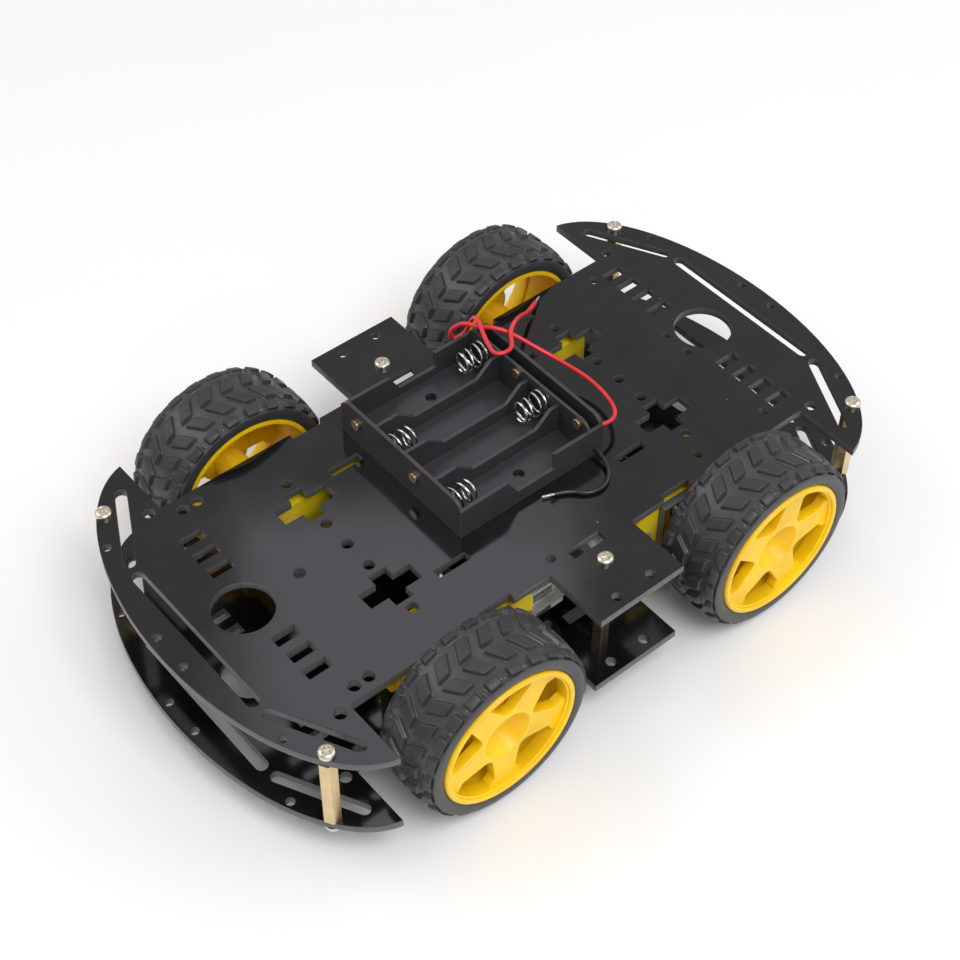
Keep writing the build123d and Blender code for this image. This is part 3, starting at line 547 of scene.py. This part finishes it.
def lead_curve(name, route, slot):
    """A lead as one smooth open spline whose control points are its route."""
    data = bpy.data.curves.new(name, "CURVE")
    data.dimensions = "3D"
    data.bevel_depth = LEAD_DIAMETER / 2
    data.bevel_resolution = 6
    data.resolution_u = 12
    data.use_fill_caps = True
    spline = data.splines.new("NURBS")
    spline.points.add(len(route) - 1)
    for point, spot in zip(spline.points, route):
        point.co = (*(value * MM for value in spot), 1.0)
    spline.order_u = 3
    spline.use_endpoint_u = True
    data.materials.append(MATERIALS[slot])
    piece = bpy.data.objects.new(name, data)
    bpy.context.scene.collection.objects.link(piece)
    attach(piece, "chassis")
    return piece


def tube_mesh(points, radius, sides, name):
    """A closed round wire along a line of points."""
    vertices, faces = [], []
    side = Vector((0.0, 0.0, 1.0))
    for index, point in enumerate(points):
        ahead = points[min(index + 1, len(points) - 1)]
        behind = points[max(index - 1, 0)]
        way = (ahead - behind).normalized()
        side = (side - way * side.dot(way)).normalized()
        other = way.cross(side)
        for step in range(sides):
            angle = math.tau * step / sides
            vertices.append(point + radius * (math.cos(angle) * side + math.sin(angle) * other))
    for index in range(len(points) - 1):
        for step in range(sides):
            after = (step + 1) % sides
            low, high = index * sides, (index + 1) * sides
            faces.append((low + step, low + after, high + after, high + step))
    faces.append(tuple(range(sides)))
    last = (len(points) - 1) * sides
    faces.append(tuple(range(last, last + sides)))
    return mesh_from(vertices, faces, name)


def strand_tip(name, route):
    """Bared strands, slightly twisted, that stand out of a lead's end."""
    end = Vector(route[-1]) * MM
    way = (end - Vector(route[-2]) * MM).normalized()
    side = way.orthogonal().normalized()
    other = way.cross(side)
    wires = [tube_mesh([end - way * MM, end + way * TIP_LENGTH], STRAND_RADIUS, 8, "core")]
    for strand in range(STRAND_COUNT):
        points = []
        for step in range(STRAND_STEPS + 1):
            share = step / STRAND_STEPS
            angle = math.tau * (strand / STRAND_COUNT + STRAND_TURNS * share)
            out = side * math.cos(angle) + other * math.sin(angle)
            points.append(end + way * (TIP_LENGTH * 0.985 * share - 0.5 * MM) + out * STRAND_LAY)
        wires.append(tube_mesh(points, STRAND_RADIUS, 8, "strand"))
    return place(name, joined(wires, name), "chassis", "tinned_strand")


def make_leads():
    red = lead_curve("red_lead_piece", RED_ROUTE, "red_insulation")
    black = lead_curve("black_lead_piece", BLACK_ROUTE, "black_insulation")
    red_tip = strand_tip("red_tip", RED_ROUTE)
    black_tip = strand_tip("black_tip", BLACK_ROUTE)
    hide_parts("red_lead")
    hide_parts("black_lead")
    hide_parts("lead_tips")
    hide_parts("lead_tips")


# ----------------------------------------------------------------- wheels

LUGS = 24
TYRE_RADIUS = 32.5
# The tyre's section from the middle of its tread to its bead, as (distance across, radius)
CROWN = [
    (0.0, 32.48), (4.0, 32.42), (8.0, 32.12), (10.0, 31.75), (11.3, 31.3), (12.1, 30.7),
    (12.55, 29.9), (12.8, 28.9), (12.83, 27.6), (12.7, 26.4), (12.4, 25.75),
]
# Mesh lines across half of the tyre, close together at the edges of the tread blocks
TREAD_LINES = [
    0.0, 0.4, 0.7, 0.9, 1.1, 1.35, 1.8, 2.8, 4.0, 5.2, 6.2, 6.6, 6.8, 7.0, 7.25, 7.6, 8.3, 8.75,
    9.0, 9.2, 9.4, 9.8, 10.5, 11.3, 11.9, 12.25, 12.5, 12.7, 12.9, 13.15, 13.5, 14.1, 14.8, 15.5,
    16.3, 17.1,
]
# Mesh lines along one lug, whose whole length is LUG_SPAN in the same units
PITCH_LINES = [
    -4.25, -3.7, -3.2, -2.85, -2.6, -2.4, -2.2, -1.95, -1.3, 0.0,
    1.3, 1.95, 2.2, 2.4, 2.6, 2.85, 3.2, 3.7,
]
LUG_SPAN = 8.5
GROOVE = 1.45
SLANT = 0.58
# Where the slanted arm, the shoulder block and the low rib between blocks lie across the tyre
ARM_ACROSS = (1.0, 6.95)
BLOCK_ACROSS = (9.15, 12.7)
RIB_ACROSS = (10.9, 13.2)
RIB_HEIGHT = 0.4
# Half the length of an arm and of a shoulder block along a lug
ARM_HALF = 2.4
BLOCK_HALF = 2.5
BORE_RADIUS = 25.5
BORE = [
    (12.1, BORE_RADIUS + 0.02), (8.0, BORE_RADIUS), (-8.0, BORE_RADIUS), (-12.1, BORE_RADIUS + 0.02),
]


def smooth_step(value, low, high):
    share = max(0.0, min(1.0, (value - low) / (high - low)))
    return share * share * (3 - 2 * share)


def hump(value, low, high, soft):
    """1 between low and high and 0 outside, with soft shoulders."""
    rise = smooth_step(value, low - soft, low + soft)
    fall = smooth_step(value, high - soft, high + soft)
    return rise * (1 - fall)


def crown_point(distance):
    """Width, radius and outward normal at a distance along the section from the tread's middle."""
    travelled = 0.0
    for first, second in zip(CROWN, CROWN[1:]):
        step = math.hypot(second[0] - first[0], second[1] - first[1])
        if distance <= travelled + step or second is CROWN[-1]:
            share = min(1.0, (distance - travelled) / step)
            width = first[0] + share * (second[0] - first[0])
            radius = first[1] + share * (second[1] - first[1])
            normal = ((first[1] - second[1]) / step, (second[0] - first[0]) / step)
            return width, radius, normal
        travelled += step


def tread_height(along, across):
    """Height of the tread from 0 to 1, at a place along one lug and across the tyre."""
    arm = hump(across, *ARM_ACROSS, 0.25) * hump(along, -ARM_HALF, ARM_HALF, 0.3)
    block = hump(across, *BLOCK_ACROSS, 0.3) * hump(along, -BLOCK_HALF, BLOCK_HALF, 0.4)
    from_lug_end = abs(abs(along) - LUG_SPAN / 2)
    rib = RIB_HEIGHT * hump(across, *RIB_ACROSS, 0.3) * (1 - smooth_step(from_lug_end, 0.35, 0.9))
    return max(arm, block, rib)


def shear(across, side):
    """How far the pattern has moved along the rolling direction, at a distance across."""
    moved = SLANT * (min(max(across, 0.6), 7.5) - 4.0)
    moved -= 2.3 * smooth_step(across, 7.5, 9.0)
    return moved - (0.5 * smooth_step(across, 0.2, 1.0) if side > 0 else 0.0)


def tyre_mesh(corner, outward):
    """A tyre about the Y axis at the origin, with its tread as one closed sheet."""
    inner_half = [(-value, -1) for value in reversed(TREAD_LINES[1:])]
    across_lines = inner_half + [(value, 1) for value in TREAD_LINES]
    rows, grooves = [], []
    around = [(lug, line) for lug in range(LUGS) for line in PITCH_LINES]
    pitch = math.tau * TYRE_RADIUS / LUGS
    for lug, line in around:
        row = []
        for across, side in across_lines:
            distance = abs(across)
            width, radius, normal = crown_point(distance)
            along = line * pitch / LUG_SPAN
            height = tread_height(line, distance)
            moved = shear(distance, side)
            # Groove mask for the shader: it makes the groove floors paler as a painted highlight, and
            # glossier. The side wall gets a little over half of both.
            share = (1 - height) * (1 - smooth_step(distance, 12.7, 13.4))
            side_wall = 0.55 * smooth_step(distance, 12.9, 13.6)
            grooves.append(max(share, side_wall))
            drop = GROOVE * share
            angle = (lug * pitch + along + moved) / TYRE_RADIUS
            w = side * (width - normal[0] * drop)
            r = radius - normal[1] * drop
            row.append((w, r, angle))
        angle = (lug * pitch + line * pitch / LUG_SPAN) / TYRE_RADIUS
        row.extend((w, r, angle) for w, r in BORE)
        grooves.extend([0.0] * len(BORE))
        rows.append(row)
    vertices = []
    for row in rows:
        for w, r, angle in row:
            vertices.append((r * math.sin(angle) * MM, outward * w * MM, r * math.cos(angle) * MM))
    count = len(rows[0])
    faces = []
    for index in range(len(rows)):
        here, there = index * count, (index + 1) % len(rows) * count
        for column in range(count):
            after = (column + 1) % count
            faces.append((here + column, there + column, there + after, here + after))
    mesh = mesh_from(vertices, faces, corner + "_tyre_piece")
    # The groove mask, which carries the grooves' painted highlight as well as their gloss.
    mesh.attributes.new("groove", "FLOAT", "POINT").data.foreach_set("value", grooves)
    return mesh


def rounded(points, radii, steps=6):
    """A closed outline with its corners turned to curves, each as large as its own radius."""
    outline = []
    for index, (corner, radius) in enumerate(zip(points, radii)):
        before = points[index - 1] - corner
        after = points[(index + 1) % len(points)] - corner
        half = before.angle(after) / 2
        reach = min(radius / math.tan(half), 0.49 * before.length, 0.49 * after.length)
        start, end = corner + before.normalized() * reach, corner + after.normalized() * reach
        for step in range(steps + 1):
            share = step / steps
            first = start.lerp(corner, share)
            second = corner.lerp(end, share)
            outline.append(first.lerp(second, share))
    return outline


SPOKE_COUNT = 5
SPOKE_PITCH = 360 // SPOKE_COUNT
# Corners of a spoke that points along X, each with the radius that rounds it
SPOKE_CORNERS = [
    ((19.4, -4.1), 1.4), ((21.2, -6.2), 1.2), ((23.5, -6.9), 0.1),
    ((23.5, 6.9), 0.1), ((21.2, 6.2), 1.2), ((19.4, 4.1), 1.4),
]
VALLEY_DISTANCE = 9.6
VALLEY_RADIUS = 3.2
DISC_HOLE_RADIUS = 8.7
DISC_LOW = 7.4
DISC_HIGH = 11.1
DISC_EDGE = 0.4


def star_outline(phase):
    """The spoked disc's outline: five spokes with rounded valleys between them."""
    points, radii = [], []
    for spoke in range(SPOKE_COUNT):
        turn = Matrix.Rotation(math.radians(phase + SPOKE_PITCH * spoke), 2)
        for point, radius in SPOKE_CORNERS:
            points.append(turn @ Vector(point))
            radii.append(radius)
        between = Matrix.Rotation(math.radians(phase + SPOKE_PITCH * spoke + SPOKE_PITCH // 2), 2)
        points.append(between @ Vector((VALLEY_DISTANCE, 0.0)))
        radii.append(VALLEY_RADIUS)
    return rounded(points, radii)


def ring_outline(radius, steps):
    angles = [math.tau * step / steps for step in range(steps)]
    return [Vector((radius * math.cos(angle), radius * math.sin(angle))) for angle in angles]


def spoked_disc(phase):
    """The star of spokes with a round hole for the hub."""
    outlines = (star_outline(phase), ring_outline(DISC_HOLE_RADIUS, 72))
    loops = [[(point[0] * MM, point[1] * MM, 0.0) for point in line] for line in outlines]
    return plate_mesh(loops, 2, DISC_LOW * MM, DISC_HIGH * MM, DISC_EDGE * MM)


def in_metres(profile):
    return [(radius * MM, height * MM) for radius, height in profile]


# Sections of the rim as (radius, height), its outer face towards +Z
BARREL = [
    (25.5, -12.65), (25.5, 12.55), (25.35, 12.95), (24.95, 13.3), (24.0, 13.35), (23.75, 13.25),
    (23.55, 12.95), (23.5, 12.3), (23.05, 12.0), (23.0, 7.6), (23.3, 7.1), (24.0, 6.8), (24.1, 6.4),
    (24.1, -12.6), (24.3, -12.65),
]
HUB = [
    (0.0, 2.6), (1.9, 2.65), (2.3, 4.6), (2.6, 4.85), (5.6, 5.1), (6.3, 5.6), (8.3, 10.6),
    (8.65, 11.05), (9.6, 11.05), (9.7, 10.8), (9.7, 3.6), (5.5, 2.0), (5.5, -15.0), (5.2, -15.3),
    (2.9, -15.3), (2.72, -15.1), (2.72, -6.0), (0.0, -6.0),
]


def rim_mesh(corner, outward, phase):
    """A rim along Z, its outer face towards +Z, then turned to face outward along Y."""
    parts = [lathe(in_metres(BARREL), 144), solid_lathe(in_metres(HUB), 72), spoked_disc(phase)]
    mesh = joined(parts, corner + "_rim_piece")
    turn = Matrix(((1, 0, 0), (0, 0, outward), (0, 1, 0)))
    for vertex in mesh.vertices:
        vertex.co = turn @ vertex.co
    if outward > 0:
        mesh.flip_normals()
    return mesh


# Angle of one spoke, and of the tread, at each corner in degrees
SPOKE_PHASE = {"front_left": 20, "front_right": 3, "rear_left": 61, "rear_right": 52}
TYRE_TURN = {"front_left": 4.0, "front_right": 0.0, "rear_left": 9.0, "rear_right": 6.0}


def make_wheels():
    for corner in CORNERS:
        low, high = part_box(corner + "_tyre")
        centre = (low + high) / 2
        outward = 1 if centre.y > 0 else -1
        body = corner + "_wheel"
        tyre = tyre_mesh(corner, outward)
        turn = Matrix.Rotation(math.radians(TYRE_TURN[corner]), 4, "Y")
        tyre.transform(Matrix.Translation(centre) @ turn)
        tyre_piece = place(corner + "_tyre_piece", tyre, body, "tyre_rubber", smooth=50.0)
        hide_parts(corner + "_tyre")
        rim = rim_mesh(corner, outward, SPOKE_PHASE[corner])
        rim.transform(Matrix.Translation(centre))
        rim_piece = place(corner + "_rim_piece", rim, body, "rim_yellow", flat=1)
        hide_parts(corner + "_rim")


# ------------------------------------------------------ screws and springs

HEAD_SEAT = 2.1 * MM
HEAD_RADIUS = 2.78
HEAD_HEIGHT = 2.08
SHANK_RADIUS = 1.48
THREAD_PITCH = 0.5
THREAD_ROOT = 0.84
DECK_SCREW_LENGTH = 7.9
BRACKET_BOLT_LENGTH = 29.9
BETWEEN_DECKS_Z = 0.03
SPRING_TURNS = 3.8
SPRING_STEPS_PER_TURN = 32
SPRING_WALL_RADIUS = 4.15
SPRING_NARROWING = 0.75
SPRING_WIRE_RADIUS = 0.42


def cross_head(radius, height, cells=44):
    """A domed screw head with a tapered cross recess, on Z = 0 and centred on the axis."""
    vertices, faces = [], []
    for row in range(cells + 1):
        for column in range(cells + 1):
            u, v = 2 * column / cells - 1, 2 * row / cells - 1
            x = u * math.sqrt(1 - v * v / 2)
            y = v * math.sqrt(1 - u * u / 2)
            out = math.hypot(x, y)
            dome = height * (0.45 + 0.55 * math.sqrt(max(0.0, 1 - (out**2.6))))
            px, py = abs(x) * radius, abs(y) * radius
            arm = min(px, py)
            reach = max(px, py)
            wing = (1 - smooth_step(arm, 0.22, 0.5)) * (1 - smooth_step(reach, 1.25, 1.75))
            heart = 1 - smooth_step(px + py, 0.7, 1.3)
            recess = max(wing * 0.85, heart) * 0.52 * height
            vertices.append((x * radius, y * radius, dome - recess))
    side = cells + 1
    for row in range(cells):
        for column in range(cells):
            first = row * side + column
            faces.append((first, first + 1, first + side + 1, first + side))
    rim = list(range(side))
    rim += [row * side + cells for row in range(1, side)]
    rim += [cells * side + column for column in range(cells - 1, -1, -1)]
    rim += [row * side for row in range(cells - 1, 0, -1)]
    base = len(vertices)
    for index in rim:
        x, y, _ = vertices[index]
        vertices.append((x * 0.97, y * 0.97, 0.0))
    count = len(rim)
    for index in range(count):
        after = (index + 1) % count
        faces.append((rim[index], base + index, base + after, rim[after]))
    faces.append(tuple(range(base + count - 1, base - 1, -1)))
    scaled = [(x * MM, y * MM, z * MM) for x, y, z in vertices]
    return mesh_from(scaled, faces, "head")


def screw_mesh(length):
    """A cross-head screw along Z with its head on Z = 0 and a ridged shank below."""
    profile = [(0.0, -length), (SHANK_RADIUS * 0.8, -length)]
    for turn in range(int(length / THREAD_PITCH)):
        z = -length + 0.3 + turn * THREAD_PITCH
        profile.append((SHANK_RADIUS * THREAD_ROOT, z))
        profile.append((SHANK_RADIUS, z + 0.22))
    profile.append((SHANK_RADIUS * THREAD_ROOT, 0.02))
    profile.append((0.0, 0.02))
    shank = solid_lathe(in_metres(profile), 20)
    return joined([cross_head(HEAD_RADIUS, HEAD_HEIGHT), shank], "screw")


def make_deck_screws():
    """One screw for each of the node's solids, head outward of the decks."""
    made = []
    for index, (low, high) in enumerate(island_boxes("deck_screws")):
        centre = (low + high) / 2
        up = centre.z > BETWEEN_DECKS_Z
        seat = high.z - HEAD_SEAT if up else low.z + HEAD_SEAT
        turn = Matrix.Rotation(math.radians(35 * index + 12), 4, "Z")
        if not up:
            turn = Matrix.Rotation(math.pi, 4, "X") @ turn
        screw = screw_mesh(DECK_SCREW_LENGTH)
        screw.transform(Matrix.Translation((centre.x, centre.y, seat)) @ turn)
        made.append(screw)
    name = "deck_screws_piece"
    piece = place(name, joined(made, name), "chassis", "nickel_screw", smooth=40.0)
    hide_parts("deck_screws")


def make_bracket_bolts():
    """One long bolt for each of the node's solids, its head on the wheel's side."""
    made = []
    for index, (low, high) in enumerate(island_boxes("bracket_bolts")):
        centre = (low + high) / 2
        outward = 1 if centre.y > 0 else -1
        seat = high.y - HEAD_SEAT if outward > 0 else low.y + HEAD_SEAT
        bolt = screw_mesh(BRACKET_BOLT_LENGTH)
        turn = Matrix.Rotation(-outward * math.pi / 2, 4, "X")
        turn = turn @ Matrix.Rotation(math.radians(27 * index), 4, "Z")
        bolt.transform(Matrix.Translation((centre.x, seat, centre.z)) @ turn)
        made.append(bolt)
    name = "bracket_bolts_piece"
    piece = place(name, joined(made, name), "chassis", "nickel_screw", smooth=40.0)
    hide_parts("bracket_bolts")


def make_springs():
    """Conical battery springs: a closed wide coil at the wall and a closed small one in front."""
    made = []
    tray_low, tray_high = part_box("battery_tray")
    for low, high in island_boxes("battery_springs"):
        centre = (low + high) / 2
        at_start = centre.x < (tray_low.x + tray_high.x) / 2
        way = 1 if at_start else -1
        wall = low.x if at_start else high.x
        length = high.x - low.x - 0.8 * MM
        steps = int(SPRING_TURNS * SPRING_STEPS_PER_TURN)
        points = []
        for step in range(steps + 1):
            share = step / steps
            settled = smooth_step(share, 0.0, 0.24) * 0.10 + smooth_step(share, 0.12, 0.9) * 0.84
            settled += smooth_step(share, 0.8, 1.0) * 0.06
            radius = (SPRING_WALL_RADIUS - SPRING_NARROWING * share) * MM
            angle = math.tau * SPRING_TURNS * share
            x = wall + way * (0.4 * MM + length * settled)
            y = centre.y + radius * math.cos(angle)
            z = centre.z + radius * math.sin(angle)
            points.append(Vector((x, y, z)))
        made.append(tube_mesh(points, SPRING_WIRE_RADIUS * MM, 10, "spring"))
    name = "battery_springs_piece"
    piece = place(name, joined(made, name), "chassis", "spring_wire")
    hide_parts("battery_springs")


# ------------------------------------------------------------- everything

# CAD nodes shown with rounded edges: their material, and the edge's width in millimetres
SOFT = [
    ("standoffs", "brass", 0.35),
    ("bracket_nuts", "nickel_screw", 0.2),
    ("motor_end_caps", "cap_plastic", 0.2),
    ("battery_tray", "tray_plastic", 0.16),
    ("battery_contacts", "brass", 0.14),
    ("motor_straps", "clear_strap", 0.12),
    ("gearbox_screws", "nickel_screw", 0.1),
]
SOFT_AT_CORNER = [
    ("gearbox_outer_shell", "gearbox_yellow", 0.25),
    ("gearbox_inner_shell", "gearbox_yellow", 0.25),
    ("motor_can", "can_steel", 0.2),
]
# CAD nodes shown as they are, and their material
KEPT = {
    "motor_magnets": "magnet",
    "motor_terminals": "copper",
    "gear_arbors": "motor_steel",
}
KEPT_AT_CORNER = {
    "output_gear": "white_nylon",
    "middle_gear": "white_nylon",
    "crown_gear": "white_nylon",
    "pinion": "brass",
    "armature": "copper",
}
FLOOR_SIZE = 6.0
SKY_STRENGTH = 0.56
# Each lamp's name, place, size, power and colour
LAMPS = [
    ("key", (-0.15, -0.75, 1.25), 0.7, 10.5, (1.0, 1.0, 1.0)),
    ("fill", (1.0, -0.5, 0.9), 0.9, 3.0, (1.0, 1.0, 1.0)),
    ("back", (-0.7, 0.9, 1.1), 0.9, 4.0, (1.0, 1.0, 1.0)),
    ("sheen", (0.42, 0.60, 1.15), 0.34, 0.42, (1.0, 0.95, 1.07)),
]


def keep_cad(node, slot):
    """Show a CAD node's own mesh in the slot's material."""
    for material_slot in NODES[node].material_slots:
        material_slot.material = MATERIALS[slot]


def make_stage():
    bpy.ops.mesh.primitive_plane_add(size=FLOOR_SIZE, location=(0, 0, 0))
    floor = bpy.context.object
    floor.name = "floor"
    tree = Tree("floor", (0.93, 0.93, 0.93), 0.6)
    tree.gloss(tree.ranged(tree.noise(8.0), 0.3, 0.7, 0.55, 0.7))
    floor.data.materials.append(tree.material)
    world = bpy.data.worlds.new("studio")
    world.use_nodes = True
    world.node_tree.nodes["Background"].inputs["Color"].default_value = (1.0, 1.0, 1.0, 1.0)
    world.node_tree.nodes["Background"].inputs["Strength"].default_value = SKY_STRENGTH
    bpy.context.scene.world = world
    bpy.context.scene.view_settings.view_transform = "Standard"
    for name, spot, size, power, colour in LAMPS:
        data = bpy.data.lights.new(name, "AREA")
        data.shape = "SQUARE"
        data.size = size
        data.energy = power
        data.color = colour
        lamp = bpy.data.objects.new(name, data)
        lamp.location = spot
        lamp.rotation_euler = (-Vector(spot)).to_track_quat("-Z", "Y").to_euler()
        bpy.context.scene.collection.objects.link(lamp)


def main():
    make_camera()
    make_leads()
    plates("top_deck", 2, PLATE_EDGE, "deck_acrylic")
    plates("bottom_deck", 2, PLATE_EDGE, "deck_acrylic")
    plates("motor_brackets", 1, PLATE_EDGE, "deck_acrylic", "bracket_acrylic")
    make_wheels()
    make_deck_screws()
    make_bracket_bolts()
    make_springs()
    for node, slot, width in SOFT:
        softened(node, slot, width * MM)
    for node, slot in KEPT.items():
        keep_cad(node, slot)
    for corner in CORNERS:
        for part, slot, width in SOFT_AT_CORNER:
            softened(corner + "_" + part, slot, width * MM)
        for part, slot in KEPT_AT_CORNER.items():
            keep_cad(corner + "_" + part, slot)
    make_stage()


main()
